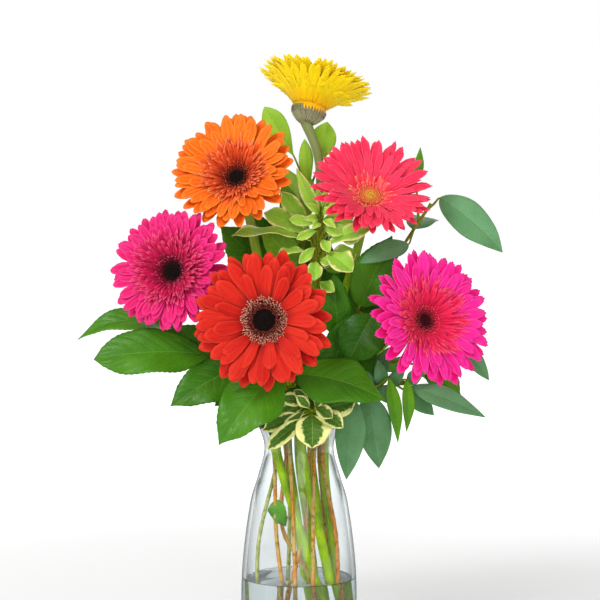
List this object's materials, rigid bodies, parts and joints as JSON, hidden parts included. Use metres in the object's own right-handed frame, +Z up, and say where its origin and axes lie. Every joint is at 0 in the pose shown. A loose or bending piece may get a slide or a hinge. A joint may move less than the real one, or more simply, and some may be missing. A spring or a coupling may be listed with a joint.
{
  "type": "gerberas in a vase",
  "caption": "Gerberas in mixed colours with salal, pittosporum and eucalyptus greens, standing in a waisted clear glass vase with a little water.",
  "frame": {"origin": "centre of the vase's flat bottom", "axes": "+Z up along the vase's axis, the front of the bunch towards -Y, +X to the right seen from the front"},
  "size_m": [0.3418, 0.2026, 0.4666],
  "materials": {
    "glass": "clear, polished",
    "water": "clear",
    "flower_stem": "soft satin, finely ribbed",
    "red_petal": "velvety, finely furrowed",
    "orange_petal": "velvety, finely furrowed",
    "coral_petal": "velvety, finely furrowed",
    "magenta_petal": "velvety, finely furrowed",
    "pink_petal": "velvety, finely furrowed",
    "yellow_petal": "velvety, finely furrowed",
    "dark_disc": "matte, bristly",
    "gold_disc": "matte, bristly",
    "salal_leaf": "glossy above, dull below, veined",
    "variegated_leaf": "satin, cream margins",
    "light_leaf": "satin",
    "eucalyptus_leaf": "dull, waxy bloom"
  },
  "bodies": {
    "root": {"vase": "glass", "water": "water", "red_stem": "flower_stem", "red_petals": "red_petal", "red_disc": "dark_disc", "orange_stem": "flower_stem", "orange_petals": "orange_petal", "orange_disc": "dark_disc", "coral_stem": "flower_stem", "coral_petals": "coral_petal", "coral_disc": "gold_disc", "magenta_stem": "flower_stem", "magenta_petals": "magenta_petal", "magenta_disc": "dark_disc", "pink_stem": "flower_stem", "pink_petals": "pink_petal", "pink_disc": "dark_disc", "yellow_stem": "flower_stem", "yellow_petals": "yellow_petal", "yellow_disc": "gold_disc", "salal_left": "salal_leaf", "salal_back_left": "salal_leaf", "salal_front": "salal_leaf", "salal_right": "salal_leaf", "salal_back_right": "salal_leaf", "salal_back": "salal_leaf", "pittosporum_upper": "variegated_leaf", "pittosporum_lower": "variegated_leaf", "greens_top": "light_leaf", "eucalyptus_low": "eucalyptus_leaf", "eucalyptus_right": "eucalyptus_leaf"}
  },
  "joints": []
}
